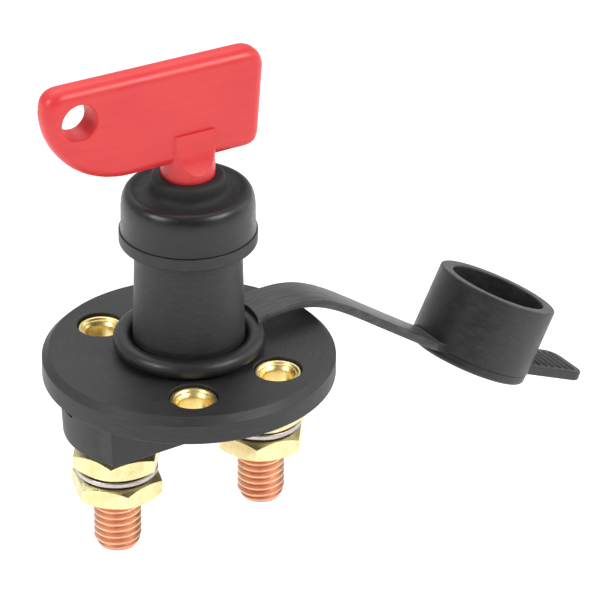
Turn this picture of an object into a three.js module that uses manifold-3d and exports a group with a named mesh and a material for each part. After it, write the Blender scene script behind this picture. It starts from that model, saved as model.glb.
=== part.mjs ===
// Battery isolator switch with a removable key and a tethered rubber cap.
// Millimetres. Origin: barrel axis where the flange's underside meets the panel. +Z runs up the barrel,
// +X runs along the line of the two terminals, towards the strap.
import * as THREE from 'three';
import { mergeVertices } from 'three/addons/utils/BufferGeometryUtils.js';
import Module from 'manifold-3d';

const wasm = await Module();
wasm.setup();

// ---- driving dimensions ----
const gap = 0.3; // clearance kept between pieces that touch
const flange = { radius: 30.5, thickness: 5.7, chamfer: 1.45 };
const barrel = { footRadius: 11.73, neckRadius: 11.08, rotorBore: 8.6, keyBore: 6.15 };
const collar = { radius: 14.3, bottom: 30.9, top: 33.7, edge: 0.4 };
const spigot = { radius: 11, top: 39.6 };
const rotorCeiling = 26; // shoulder in the barrel that the rotor bears against

const fixing = { halfX: 10.3, halfY: 17.84, recessRadius: 5.05, recessDepth: 1.8 };
const ferrule = { rimRadius: 4.7, tubeRadius: 3.7, boreRadius: 3.1, top: 4.7, flare: 1.5, lip: 0.45 };

const housing = {
  halfWidth: 13.3, cornerX: 26.8, endRadius: 17.2, endX: 12.2, endY: 2.6,
  top: -gap, bottom: -8.3, floor: 3, wall: 2.4, draft: 1.02,
};
const terminalX = 17.84; // each stud's distance from the barrel axis
const studBoss = { radius: 7.5, bottom: -11.4 };
const stud = { radius: 5, tip: -35.4, tipRadius: 4, chamfer: 1.8, headHalf: 5.5, headTop: -2.85 };
const studHole = 5.3;

const hexNut = { acrossFlats: 17, height: 4.6, bore: 5.3, chamfer: 1.05, faceRadius: 7.9 };
const lockNutTop = -11.7;
const washer = { outer: 8.6, bore: 5.35, height: 1.7, top: -16.5, slit: 0.9 };
const terminalNutTop = -18.4;

const travel = 2.9; // how far the contact bridge moves to close the circuit
const bridge = { halfLength: 22, halfWidth: 5.5, bottom: 0.65, top: 3.15, padRadius: 4, padDrop: 0.5 };
const bridgeRoom = { halfLength: 22.9, halfWidth: 6.3, top: 4 };
const carrier = {
  radius: 8.3, bottom: 3.5, top: 8.6, cupRadius: 6.2, ceiling: 6.4, stem: 2.1, stemEnd: -1.4,
};
const nose = { inner: 5, outer: 8, halfWidth: 0.85, halfAngle: 8, top: 11.7 };
const rotor = { radius: 8.3, bottom: 12, top: 25.7, socket: 6.15, socketFloor: 21.7 };
const blade = { halfWidth: 4.9, halfThickness: 1.8, bottom: 13.5, top: 22.4 };

const key = {
  turn: -4.3, thickness: 6, edgeRound: 1.6, shaftRadius: 5.6, shaftBottom: 22,
  low: 50.5, highRight: 72.2, highLeft: 72.5, right: 16, rightLow: 14.9, left: -32.8,
  sweepX: -14.3, sweepRadiusX: 18.6, sweepRadiusZ: 17.8, holeX: -25.8, holeZ: 65.1, holeRadius: 4,
  flatTop: 56.8, flatHalf: 3.5, flatLean: 14,
};
const boot = { radius: 13.85, bottom: 33.9, inner: 11.3, top: 46.4, bossRadius: 7.65, bore: 6.15 };

const ring = { radius: 13.9, section: 1.85, middle: 7.95 };
const strap = { halfWidth: 4.75, thickness: 1.9, knuckleGap: 0.35 };
const strapHinges = { liftX: 30, curlX: 44, foldX: 58.1 }; // where the strap's segments meet
const cap = {
  x: 70.7, z: -19.2, tilt: 28, outer: 13.35, inner: 10.56, height: 17.3, floor: 3.4,
  discHeight: 2.1, tetherLevel: 1.3,
};
const tab = {
  reach: 29.6, halfWidth: 5.8, tipHalfWidth: 5, thickness: 2.1, lean: 5, ribs: 5, ribHeight: 0.45,
};

const roundSteps = 36; // facets round a full turn
const bodySteps = 48; // facets round the largest pieces
const smallSteps = 18;

// ---- materials ----
function finish(color, roughness, metalness) {
  return new THREE.MeshStandardMaterial({ color, roughness, metalness });
}
const blackPlastic = finish('#3a3a3b', 0.6, 0);
const redPlastic = finish('#e23b3f', 0.35, 0);
const blackRubber = finish('#2c2c2d', 0.5, 0);
const innerPlastic = finish('#e9e5d8', 0.5, 0);
const brass = finish('#c9a54a', 0.25, 1);
const copper = finish('#c4754f', 0.3, 1);
const springSteel = finish('#b9bbbd', 0.3, 1);

// ---- solids ----
function solid(geometry) {
  const bare = geometry.clone();
  bare.deleteAttribute('normal');
  bare.deleteAttribute('uv');
  const welded = mergeVertices(bare, 1e-4);
  const corners = [];
  for (let i = 0; i < welded.index.count; i += 3) {
    const [a, b, c] = [0, 1, 2].map((k) => welded.index.getX(i + k));
    if (a !== b && b !== c && c !== a) corners.push(a, b, c);
  }
  const vertProperties = Float32Array.from(welded.attributes.position.array);
  const triVerts = Uint32Array.from(corners);
  return new wasm.Manifold(new wasm.Mesh({ numProp: 3, vertProperties, triVerts }));
}

function join(...solids) {
  return solids.reduce((whole, piece) => whole.add(piece));
}

function cut(whole, ...tools) {
  return tools.reduce((rest, tool) => rest.subtract(tool), whole);
}

function surface(shape) {
  const { numProp, vertProperties, triVerts } = shape.getMesh();
  const geometry = new THREE.BufferGeometry();
  const points = new Float32Array((vertProperties.length / numProp) * 3);
  for (let i = 0; i < points.length / 3; i += 1) {
    for (let k = 0; k < 3; k += 1) points[3 * i + k] = vertProperties[numProp * i + k];
  }
  geometry.setAttribute('position', new THREE.BufferAttribute(points, 3));
  geometry.setIndex(new THREE.BufferAttribute(Uint32Array.from(triVerts), 1));
  geometry.computeVertexNormals();
  return geometry;
}

// A profile of [radius, z] points turned about the Z axis.
function turned(profile, steps = roundSteps) {
  const points = profile.map(([r, z]) => new THREE.Vector2(r, z));
  return solid(new THREE.LatheGeometry(points, steps).rotateX(Math.PI / 2));
}

function rod(radius, bottom, top, x = 0, y = 0, steps = roundSteps) {
  return turned([[0, bottom], [radius, bottom], [radius, top], [0, top]], steps).translate([x, y, 0]);
}

function tube(inner, outer, bottom, top, steps = roundSteps) {
  const profile = [[inner, bottom], [outer, bottom], [outer, top], [inner, top], [inner, bottom]];
  return turned(profile, steps);
}

function box(low, high) {
  const size = high.map((value, k) => value - low[k]);
  const middle = high.map((value, k) => (value + low[k]) / 2);
  return solid(new THREE.BoxGeometry(...size).translate(...middle));
}

// A plan outline raised from bottom to top.
function raised(shape, bottom, top, curveSegments = 10) {
  const options = { depth: top - bottom, bevelEnabled: false, curveSegments };
  return solid(new THREE.ExtrudeGeometry(shape, options).translate(0, 0, bottom));
}

// A side outline in X and Z, given its width across Y.
function sideways(shape, halfWidth, curveSegments = 10) {
  const options = { depth: 2 * halfWidth, bevelEnabled: false, curveSegments };
  const geometry = new THREE.ExtrudeGeometry(shape, options);
  return solid(geometry.translate(0, 0, -halfWidth).rotateX(Math.PI / 2));
}

function outline(points) {
  return new THREE.Shape(points.map(([x, y]) => new THREE.Vector2(x, y)));
}

// A rod lying across Y, used as a strap knuckle or the room round one.
function crossRod(x, z, radius, halfWidth) {
  const geometry = new THREE.CylinderGeometry(radius, radius, 2 * halfWidth, smallSteps);
  return solid(geometry.translate(x, 0, z));
}

const group = new THREE.Group();

function place(name, shape, material) {
  const mesh = new THREE.Mesh(surface(shape), material);
  mesh.name = name;
  group.add(mesh);
  return mesh;
}

// ---- moulded body: flange, barrel, collar and spigot ----
const fixingPoints = [];
for (const x of [-fixing.halfX, fixing.halfX]) {
  for (const y of [-fixing.halfY, fixing.halfY]) fixingPoints.push([x, y]);
}

// A hook under the flange that snaps into the housing's end window.
function housingHook(side) {
  const reach = [23.9, 25.6, 27.6];
  const points = [[reach[0], -4.6], [reach[1], -4.6], [reach[1], -2.4], [reach[2], -2.1], [reach[2], -1.3],
    [reach[1], -1.1], [reach[1], 0.4], [reach[0], 0.4]];
  const hook = sideways(outline(points), 2.2);
  return side > 0 ? hook : hook.rotate([0, 0, 180]);
}

function switchBody() {
  const shell = turned([
    [0, 0], [flange.radius, 0], [flange.radius, flange.thickness - flange.chamfer],
    [flange.radius - flange.chamfer, flange.thickness], [barrel.footRadius, flange.thickness],
    [barrel.neckRadius, collar.bottom], [collar.radius - collar.edge, collar.bottom],
    [collar.radius, collar.bottom + collar.edge], [collar.radius, collar.top - collar.edge],
    [collar.radius - collar.edge, collar.top], [spigot.radius, collar.top],
    [spigot.radius, spigot.top - 0.6], [spigot.radius - 0.6, spigot.top], [0, spigot.top],
  ], bodySteps);
  const fixings = fixingPoints.flatMap(([x, y]) => [
    rod(ferrule.tubeRadius + gap, -1, flange.thickness + 1, x, y, smallSteps),
    rod(fixing.recessRadius, flange.thickness - fixing.recessDepth, flange.thickness + 1, x, y, smallSteps),
  ]);
  const room = bridgeRoom;
  return cut(
    join(shell, housingHook(1), housingHook(-1)),
    rod(barrel.rotorBore, 1, rotorCeiling),
    rod(barrel.keyBore, rotorCeiling - 1, spigot.top + 1),
    box([-room.halfLength, -room.halfWidth, -1], [room.halfLength, room.halfWidth, room.top]),
    rod(barrel.rotorBore, -1, 2),
    ...fixings,
  );
}
place('switch_body', switchBody(), blackPlastic);

// ---- flared brass ferrule in each fixing hole ----
function mountingFerrule([x, y]) {
  const { rimRadius, tubeRadius, boreRadius, top, flare, lip } = ferrule;
  const profile = [
    [boreRadius, 0], [tubeRadius, 0], [tubeRadius, top - lip], [rimRadius, top - lip], [rimRadius, top],
    [boreRadius + flare * 0.7, top - 0.5], [boreRadius, top - flare], [boreRadius, 0],
  ];
  return turned(profile, smallSteps).translate([x, y, 0]);
}
const fixingNames = ['left_front', 'left_rear', 'right_front', 'right_rear'];
fixingPoints.forEach((point, i) => {
  place(`ferrule_${fixingNames[i]}`, mountingFerrule(point), brass);
});

// ---- contact housing under the flange ----
// The housing's outline seen from above, drawn in by a margin. Two opposite corners are square, two swept.
function housingOutline(margin) {
  const { halfWidth, cornerX, endRadius, endX, endY } = housing;
  const half = halfWidth - margin;
  const radius = endRadius - margin;
  const arcSteps = 9;
  const points = [];
  for (const side of [1, -1]) {
    const start = Math.asin((half - endY) / radius);
    const end = -Math.asin((half + endY) / radius);
    points.push([side * (cornerX - margin), side * half]);
    for (let k = 1; k <= arcSteps; k += 1) {
      const angle = start + ((end - start) * k) / arcSteps;
      points.push([side * (endX + radius * Math.cos(angle)), side * (endY + radius * Math.sin(angle))]);
    }
  }
  return outline(points.reverse());
}

// A solid on the housing's outline that widens from the housing's bottom to its top.
function housingBlock(margin, low, high) {
  const depth = high - low;
  const geometry = new THREE.ExtrudeGeometry(housingOutline(margin), { depth, bevelEnabled: false });
  geometry.translate(0, 0, low);
  const points = geometry.attributes.position;
  for (let i = 0; i < points.count; i += 1) {
    const rise = (points.getZ(i) - housing.bottom) / (housing.top - housing.bottom);
    const scale = 1 + (housing.draft - 1) * rise;
    points.setXY(i, points.getX(i) * scale, points.getY(i) * scale);
  }
  return solid(geometry);
}

function contactHousing() {
  const { top, bottom, floor, wall } = housing;
  const studX = [-terminalX, terminalX];
  const floorTop = bottom + floor;
  const ribY = stud.headHalf + gap;
  const ribs = studX.flatMap((x) => [-1, 1].map((side) => {
    const near = Math.min(side * ribY, side * (ribY + 1.2));
    return box([x - 5, near, floorTop - 0.5], [x + 5, near + 1.2, floorTop + 1.6]);
  }));
  const hookNotch = (side) => {
    const ends = [side * 25, side * 31].sort((a, b) => a - b);
    return box([ends[0], -2.6, -2.5], [ends[1], 2.6, 1]);
  };
  return cut(
    join(
      cut(housingBlock(0, bottom, top), housingBlock(wall, floorTop, top + 1)),
      ...studX.map((x) => rod(studBoss.radius, studBoss.bottom, bottom + 0.5, x)),
      tube(6.6, 7.6, floorTop - 0.5, floorTop + 1, smallSteps),
      ...ribs,
    ),
    ...studX.map((x) => rod(studHole, studBoss.bottom - 1, floorTop + 1, x, 0, smallSteps)),
    hookNotch(1),
    hookNotch(-1),
  );
}
place('contact_housing', contactHousing(), blackPlastic);

// ---- terminals: copper studs, brass nuts, steel spring washers ----
function terminalStud() {
  const half = stud.headHalf;
  const clip = half - 1;
  const head = outline([[-clip, -half], [clip, -half], [half, -clip], [half, clip],
    [clip, half], [-clip, half], [-half, clip], [-half, -clip]]);
  const headBottom = housing.bottom + housing.floor + gap;
  const shank = turned([[0, stud.tip], [stud.tipRadius, stud.tip], [stud.radius, stud.tip + stud.chamfer],
    [stud.radius, headBottom + 0.5], [0, headBottom + 0.5]], smallSteps);
  return join(shank, raised(head, headBottom, stud.headTop));
}

// A hexagonal nut chamfered on both faces; turn is the direction of its first corner.
function nut(top, turn) {
  const corner = hexNut.acrossFlats / Math.sqrt(3);
  const points = [];
  for (let k = 0; k < 6; k += 1) {
    const angle = THREE.MathUtils.degToRad(turn + 60 * k);
    points.push([corner * Math.cos(angle), corner * Math.sin(angle)]);
  }
  const bottom = top - hexNut.height;
  const { chamfer, faceRadius, bore } = hexNut;
  const dome = turned([[0, bottom], [faceRadius, bottom], [corner + 0.1, bottom + chamfer],
    [corner + 0.1, top - chamfer], [faceRadius, top], [0, top]]);
  const hexagon = raised(outline(points), bottom, top).intersect(dome);
  return cut(hexagon, rod(bore, bottom - 1, top + 1, 0, 0, smallSteps));
}

// A split ring; the slit is cut on a slant at the given direction.
function springWasher(slitTurn) {
  const { outer, bore, height, top, slit } = washer;
  const points = [[4, top - height - 1], [4 + slit, top - height - 1], [6 + slit, top + 1], [6, top + 1]];
  const cutter = sideways(outline(points.map(([x, z]) => [x - 5, z])), 3);
  const blade = cutter.translate([0, -(outer + bore) / 2, 0]).rotate([0, 0, slitTurn]);
  return cut(tube(bore, outer, top - height, top), blade);
}

const nutTurns = { left: { lock: -9.8, terminal: 12.2 }, right: { lock: 14, terminal: -8.3 } };
for (const [side, x] of [['left', -terminalX], ['right', terminalX]]) {
  place(`${side}_terminal_stud`, terminalStud(), copper).position.x = x;
  place(`${side}_lock_nut`, nut(lockNutTop, nutTurns[side].lock), brass).position.x = x;
  place(`${side}_spring_washer`, springWasher(side === 'left' ? 150 : 120), springSteel).position.x = x;
  place(`${side}_terminal_nut`, nut(terminalNutTop, nutTurns[side].terminal), brass).position.x = x;
}

// ---- red key: handle plate, round shaft and drive blade ----
function keyOutline() {
  const { low, highRight, highLeft, right, rightLow, left, sweepX, sweepRadiusX, sweepRadiusZ } = key;
  const sweepZ = low + sweepRadiusZ;
  const lowCorner = 3;
  const highCorner = 4.6;
  const leftCorner = 4;
  const shape = new THREE.Shape();
  shape.moveTo(sweepX + 1, low);
  shape.lineTo(rightLow - lowCorner, low);
  shape.quadraticCurveTo(rightLow, low, rightLow + 0.1, low + lowCorner + 0.5);
  shape.lineTo(right, highRight - highCorner);
  shape.bezierCurveTo(right + 0.1, highRight - 2, right - 1.9, highRight, right - highCorner, highRight);
  shape.lineTo(left + leftCorner, highLeft);
  shape.bezierCurveTo(left + 1.6, highLeft, left, highLeft - 1.6, left + 0.02, highLeft - leftCorner);
  shape.absellipse(sweepX, sweepZ, sweepRadiusX, sweepRadiusZ, Math.PI, 1.5 * Math.PI - 0.02, false);
  return shape;
}

function keySolid() {
  const round = key.edgeRound;
  const depth = key.thickness - 2 * round;
  const options = {
    depth, bevelThickness: round, bevelSize: round, bevelOffset: -round, bevelSegments: 3,
    curveSegments: 10,
  };
  const plateGeometry = new THREE.ExtrudeGeometry(keyOutline(), options);
  const ringHole = crossRod(key.holeX, key.holeZ, key.holeRadius, key.thickness);
  const plate = cut(solid(plateGeometry.translate(0, 0, -depth / 2).rotateX(Math.PI / 2)), ringHole);
  const { flatTop, flatHalf, flatLean, shaftRadius, shaftBottom } = key;
  const spread = Math.tan(THREE.MathUtils.degToRad(flatLean));
  const wedge = new THREE.Shape();
  const wedgeHalf = (z) => flatHalf + (flatTop - z) * spread;
  wedge.moveTo(-wedgeHalf(shaftBottom), shaftBottom);
  wedge.lineTo(wedgeHalf(shaftBottom), shaftBottom);
  wedge.lineTo(flatHalf, flatTop);
  wedge.lineTo(-flatHalf, flatTop);
  const flats = sideways(wedge, shaftRadius + 1).rotate([0, 0, 90]);
  const shaft = rod(shaftRadius, shaftBottom, flatTop).intersect(flats);
  const { halfWidth, halfThickness, bottom, top } = blade;
  const driveBlade = box([-halfWidth, -halfThickness, bottom], [halfWidth, halfThickness, top]);
  return join(plate, shaft, driveBlade);
}
const keyTurn = THREE.MathUtils.degToRad(key.turn);
place('key', keySolid(), redPlastic).rotation.z = keyTurn;

// ---- rubber boot carried on the key's shaft, covering the spigot ----
function keyBoot() {
  const { radius, bottom, inner, top, bossRadius, bore } = boot;
  const ceiling = spigot.top + 0.4;
  const shoulder = [[radius, 39.7], [radius - 0.3, 41.2], [12.8, 42.35], [12, 42.85], [11.3, 42.8]];
  const dish = [[10.3, 42.3], [bossRadius, 42.3]];
  return turned([
    [inner, bottom], [radius, bottom], ...shoulder, ...dish, [bossRadius, top - 0.4],
    [bossRadius - 0.5, top], [bore, top], [bore, ceiling], [inner, ceiling], [inner, bottom],
  ]);
}
place('key_boot', keyBoot(), blackRubber);

// ---- rotor in the barrel: key socket above, face cam below ----
// Depth of the cam face at an angle in degrees: two equal lobes, each pushing a nose down over a quarter turn.
function camDepth(angle) {
  const within = ((angle % 180) + 180) % 180;
  const rampStart = nose.halfAngle;
  const rampEnd = 90 + nose.halfAngle;
  const returnEnd = 180 - nose.halfAngle;
  if (within < rampStart || within > returnEnd) return 0;
  if (within < rampEnd) return (travel * (within - rampStart)) / 90;
  return (travel * (returnEnd - within)) / (returnEnd - rampEnd);
}

function camRing(inner, outer, topZ, faceZ) {
  const steps = 45;
  const points = [];
  const faces = [];
  for (let k = 0; k < steps; k += 1) {
    const angle = (360 * k) / steps;
    const c = Math.cos(THREE.MathUtils.degToRad(angle));
    const s = Math.sin(THREE.MathUtils.degToRad(angle));
    const low = faceZ - camDepth(angle);
    for (const [r, z] of [[inner, low], [outer, low], [outer, topZ], [inner, topZ]]) {
      points.push(r * c, r * s, z);
    }
    const here = 4 * k;
    const next = 4 * ((k + 1) % steps);
    for (let side = 0; side < 4; side += 1) {
      const other = (side + 1) % 4;
      faces.push(here + side, next + side, next + other, here + side, next + other, here + other);
    }
  }
  const geometry = new THREE.BufferGeometry();
  geometry.setAttribute('position', new THREE.Float32BufferAttribute(points, 3));
  geometry.setIndex(faces.map((_, i) => faces[i - (i % 3) + [0, 2, 1][i % 3]]));
  return solid(geometry);
}

function driveRotor() {
  const { radius, bottom, top, socket, socketFloor } = rotor;
  const slotHalf = blade.halfWidth + gap;
  const slotSide = blade.halfThickness + gap;
  return cut(
    join(rod(radius, bottom, top), camRing(nose.inner - gap, radius - 0.1, bottom + 0.5, bottom)),
    rod(socket, socketFloor, top + 1),
    box([-slotHalf, -slotSide, blade.bottom - gap], [slotHalf, slotSide, top + 1]).rotate([0, 0, key.turn]),
  );
}
place('drive_rotor', driveRotor(), innerPlastic);

// ---- contact carrier with its bridge, clip and two springs ----
function contactCarrier() {
  const { radius, bottom, top, cupRadius, ceiling, stem, stemEnd } = carrier;
  const noses = [nose.inner, -nose.outer].map((x) => {
    return box([x, -nose.halfWidth, top - 0.5], [x + nose.outer - nose.inner, nose.halfWidth, nose.top]);
  });
  return cut(
    join(
      rod(radius, ceiling, top),
      tube(cupRadius, radius, bottom, ceiling + 0.5),
      rod(stem, stemEnd, ceiling + 0.5, 0, 0, smallSteps),
      ...noses,
    ),
    tube(1.6, stem + 0.5, -0.55, 0.5, smallSteps),
  );
}
place('contact_carrier', contactCarrier(), innerPlastic);

function contactBridge() {
  const { halfLength, halfWidth, bottom, top, padRadius, padDrop } = bridge;
  const end = halfLength - 2;
  const bar = outline([[-end, -halfWidth], [end, -halfWidth], [halfLength, -halfWidth + 2],
    [halfLength, halfWidth - 2], [end, halfWidth], [-end, halfWidth], [-halfLength, halfWidth - 2],
    [-halfLength, -halfWidth + 2]]);
  const pads = [-terminalX, terminalX].map((x) => {
    const profile = [[0, bottom - padDrop], [padRadius - 0.5, bottom - padDrop], [padRadius, bottom + 0.3],
      [0, bottom + 0.3]];
    return turned(profile, smallSteps).translate([x, 0, 0]);
  });
  return cut(join(raised(bar, bottom, top), ...pads), rod(carrier.stem + gap, 0, 4, 0, 0, smallSteps));
}
place('contact_bridge', contactBridge(), copper);

function retainingClip() {
  const ringPart = tube(1.85, 3.6, -0.3, 0.3, smallSteps);
  return cut(ringPart, box([0, -1.3, -1], [5, 1.3, 1]));
}
place('retaining_clip', retainingClip(), springSteel);

// A helix of round wire that can widen from bottom to top.
class Coil extends THREE.Curve {
  constructor(bottomRadius, topRadius, bottom, top, turns) {
    super();
    Object.assign(this, { bottomRadius, topRadius, bottom, top, turns });
  }

  getPoint(t, target = new THREE.Vector3()) {
    const angle = 2 * Math.PI * this.turns * t;
    const radius = this.bottomRadius + (this.topRadius - this.bottomRadius) * t;
    const height = this.bottom + (this.top - this.bottom) * t;
    return target.set(radius * Math.cos(angle), radius * Math.sin(angle), height);
  }
}

function coilSpring(coil, wireRadius) {
  const section = new THREE.Shape();
  section.absarc(0, 0, wireRadius, 0, 2 * Math.PI);
  const steps = Math.round(coil.turns * 12);
  return solid(new THREE.ExtrudeGeometry(section, { steps, extrudePath: coil, curveSegments: 4 }));
}
const wire = 0.4; // wire radius
const wireRoom = gap + wire; // from a coil's end to the face that it presses on
const housingFloor = housing.bottom + housing.floor;
const contactCoil = new Coil(4.3, 4.3, bridge.top + wireRoom, carrier.ceiling - wireRoom, 1.75);
const returnCoil = new Coil(5.7, 4.4, housingFloor + wireRoom, bridge.bottom - wireRoom, 2.5);
place('contact_spring', coilSpring(contactCoil, wire), springSteel);
place('return_spring', coilSpring(returnCoil, wire), springSteel);

// ---- rubber tether: ring round the barrel, strap in segments, cap ----
const strapLine = new THREE.CatmullRomCurve3([
  [13, 9.5], [17, 10.2], [21, 10.4], [25, 10.15], [29, 9.2], [33, 7.45], [37, 5.1], [41, 2.4],
  [46, -1.1], [52, -5.3], [58.1, -9.5], [64, -13.2],
].map(([x, z]) => new THREE.Vector3(x, 0, z)));

function strapAt(x) {
  let [low, high] = [0, 1];
  for (let k = 0; k < 40; k += 1) {
    const middle = (low + high) / 2;
    if (strapLine.getPoint(middle).x < x) low = middle;
    else high = middle;
  }
  const point = strapLine.getPoint(low);
  const along = strapLine.getTangent(low);
  return { x: point.x, z: point.z, alongX: along.x, alongZ: along.z };
}

// The strap's side outline between two places along X.
function strapBand(fromX, toX, steps) {
  const upper = [];
  const lower = [];
  for (let k = 0; k <= steps; k += 1) {
    const at = strapAt(fromX + ((toX - fromX) * k) / steps);
    const half = strap.thickness / 2;
    upper.push([at.x - half * at.alongZ, at.z + half * at.alongX]);
    lower.unshift([at.x + half * at.alongZ, at.z - half * at.alongX]);
  }
  return sideways(outline([...lower, ...upper].reverse()), strap.halfWidth);
}

function knuckle(hinge) {
  return crossRod(hinge.x, hinge.z, strap.thickness / 2, strap.halfWidth);
}

function knuckleRoom(hinge) {
  return crossRod(hinge.x, hinge.z, strap.thickness / 2 + strap.knuckleGap, strap.halfWidth + 12);
}

const hinges = {
  lift: strapAt(strapHinges.liftX),
  curl: strapAt(strapHinges.curlX),
  fold: strapAt(strapHinges.foldX),
};

function strapRing() {
  const ringSides = 12;
  const section = [];
  for (let k = 0; k <= ringSides; k += 1) {
    const angle = (2 * Math.PI * k) / ringSides;
    const [across, up] = [Math.cos(angle), Math.sin(angle)];
    section.push([ring.radius + ring.section * across, ring.middle + ring.section * up]);
  }
  const torus = turned(section);
  const root = cut(strapBand(strapLine.getPoint(0).x, strapHinges.liftX, 10), rod(ring.radius - 1, 0, 20));
  return join(torus, root, knuckle(hinges.lift));
}
place('strap_ring', strapRing(), blackRubber);

function strapSegment(startHinge, endHinge) {
  return cut(join(strapBand(startHinge.x, endHinge.x, 8), knuckle(endHinge)), knuckleRoom(startHinge));
}
place('strap_inner', strapSegment(hinges.lift, hinges.curl), blackRubber);
place('strap_outer', strapSegment(hinges.curl, hinges.fold), blackRubber);

// The cap in its own frame: base on z 0, mouth up, strap joining from -X, finger tab towards +X.
function sealingCap() {
  const { outer, inner, height, floor, discHeight, tetherLevel } = cap;
  const disc = [[0, 0], [outer - 0.8, 0], [outer - 0.1, 0.8], [outer - 0.1, discHeight - 0.2]];
  const cup = turned([...disc, [outer, discHeight], [outer, height - 0.3], [outer - 0.3, height],
    [inner + 0.3, height], [inner, height - 0.3], [inner, floor], [0, floor]]);
  const { reach, halfWidth, tipHalfWidth, thickness, lean, ribs, ribHeight } = tab;
  const rootX = outer - 2;
  const corner = 2.5;
  const plan = new THREE.Shape();
  plan.moveTo(rootX, -halfWidth);
  plan.lineTo(reach - corner, -tipHalfWidth);
  plan.quadraticCurveTo(reach, -tipHalfWidth, reach, -tipHalfWidth + corner);
  plan.lineTo(reach, tipHalfWidth - corner);
  plan.quadraticCurveTo(reach, tipHalfWidth, reach - corner, tipHalfWidth);
  plan.lineTo(rootX, halfWidth);
  const plate = raised(plan, tetherLevel, tetherLevel + thickness, 5);
  const pitch = 2.4;
  const ribRods = [];
  for (let k = 0; k < ribs; k += 1) {
    const x = outer + 3.2 + k * pitch;
    ribRods.push(crossRod(x, tetherLevel + thickness - 0.25, ribHeight + 0.25, tipHalfWidth - 1));
  }
  const flatTab = join(plate, ...ribRods).translate([-rootX, 0, 0]);
  const leaning = flatTab.rotate([0, -lean, 0]).translate([rootX, 0, 0]);

  // the strap's last short piece, widening into the base disc
  const tilt = THREE.MathUtils.degToRad(cap.tilt);
  const [dx, dz] = [hinges.fold.x - cap.x, hinges.fold.z - cap.z];
  const foldX = dx * Math.cos(tilt) - dz * Math.sin(tilt);
  const foldZ = dx * Math.sin(tilt) + dz * Math.cos(tilt);
  const half = strap.thickness / 2;
  const flare = outline([[foldX, -strap.halfWidth], [foldX + 4, -strap.halfWidth - 1.6],
    [foldX + 8, -strap.halfWidth - 5], [foldX + 8, strap.halfWidth + 5], [foldX + 4, strap.halfWidth + 1.6],
    [foldX, strap.halfWidth]]);
  const room = crossRod(foldX, foldZ, half + strap.knuckleGap, strap.halfWidth + 1);
  const root = raised(flare, foldZ - half, foldZ + half);
  const cavity = rod(inner, floor, height + 1);
  return cut(join(cup, leaning, root), room, cavity);
}
const capMesh = place('sealing_cap', sealingCap(), blackRubber);
capMesh.position.set(cap.x, 0, cap.z);
capMesh.rotation.y = THREE.MathUtils.degToRad(cap.tilt);

export default group;
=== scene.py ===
# Battery isolator switch with a removable red key and a tethered rubber cap.
# Lengths in the dictionaries are millimetres. +Z runs up the barrel, +X along the terminals.
import math

import bmesh
import bpy
from mathutils import Matrix, Quaternion, Vector


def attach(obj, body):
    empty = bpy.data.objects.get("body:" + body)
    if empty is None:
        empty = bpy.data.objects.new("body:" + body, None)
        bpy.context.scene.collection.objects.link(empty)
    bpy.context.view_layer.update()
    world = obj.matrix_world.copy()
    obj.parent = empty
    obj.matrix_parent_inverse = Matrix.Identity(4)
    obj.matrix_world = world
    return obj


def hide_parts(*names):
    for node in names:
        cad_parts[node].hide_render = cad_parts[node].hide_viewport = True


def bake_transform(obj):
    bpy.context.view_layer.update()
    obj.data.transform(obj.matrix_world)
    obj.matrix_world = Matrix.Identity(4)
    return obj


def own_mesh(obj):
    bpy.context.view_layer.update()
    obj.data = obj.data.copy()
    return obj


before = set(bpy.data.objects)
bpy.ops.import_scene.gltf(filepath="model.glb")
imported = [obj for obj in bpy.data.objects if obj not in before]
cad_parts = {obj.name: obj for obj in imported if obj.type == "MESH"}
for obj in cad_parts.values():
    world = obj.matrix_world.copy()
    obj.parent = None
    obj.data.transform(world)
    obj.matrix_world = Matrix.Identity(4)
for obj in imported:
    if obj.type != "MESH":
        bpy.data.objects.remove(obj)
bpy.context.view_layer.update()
mm = 0.001
fullTurn = 2 * math.pi
onAxis = 1e-6  # a smaller radius counts as a point on the axis
print("frame loaded:", len(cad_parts), "CAD nodes")


# mesh helpers

def makePiece(name, points, faces):
    mesh = bpy.data.meshes.new(name)
    mesh.from_pydata([(x * mm, y * mm, z * mm) for x, y, z in points], [], faces)
    work = bmesh.new()
    work.from_mesh(mesh)
    bmesh.ops.recalc_face_normals(work, faces=work.faces)
    work.to_mesh(mesh)
    work.free()
    piece = bpy.data.objects.new(name, mesh)
    bpy.context.scene.collection.objects.link(piece)
    return piece


# corners is a list of (x, y, rounding); each rounded corner becomes an arc
def softOutline(corners, closed=True, arcSteps=6):
    outline = []
    last = len(corners) - 1
    for k, (x, y, rounding) in enumerate(corners):
        if rounding == 0 or (not closed and k in (0, last)):
            outline.append((x, y))
            continue
        corner = Vector((x, y))
        before = (Vector(corners[k - 1][:2]) - corner).normalized()
        after = (Vector(corners[(k + 1) % len(corners)][:2]) - corner).normalized()
        half = before.angle(after) / 2
        centre = corner + (before + after).normalized() * (rounding / math.sin(half))
        start = corner + before * (rounding / math.tan(half)) - centre
        end = corner + after * (rounding / math.tan(half)) - centre
        sweep = start.angle_signed(end)
        for step in range(arcSteps + 1):
            turned = Matrix.Rotation(-sweep * step / arcSteps, 2) @ start
            outline.append(tuple(centre + turned))
    return outline


# both of these leave out the first point
def straight(start, end, steps):
    (x, y), (endX, endY) = start, end
    return [(x + (endX - x) * k / steps, y + (endY - y) * k / steps) for k in range(1, steps + 1)]


def bezier(p0, p1, p2, p3, steps):
    found = []
    for k in range(1, steps + 1):
        t = k / steps
        weights = ((1 - t) ** 3, 3 * t * (1 - t) ** 2, 3 * t * t * (1 - t), t ** 3)
        pulls = list(zip(weights, (p0, p1, p2, p3)))
        found.append(tuple(sum(w * p[i] for w, p in pulls) for i in (0, 1)))
    return found


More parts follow.
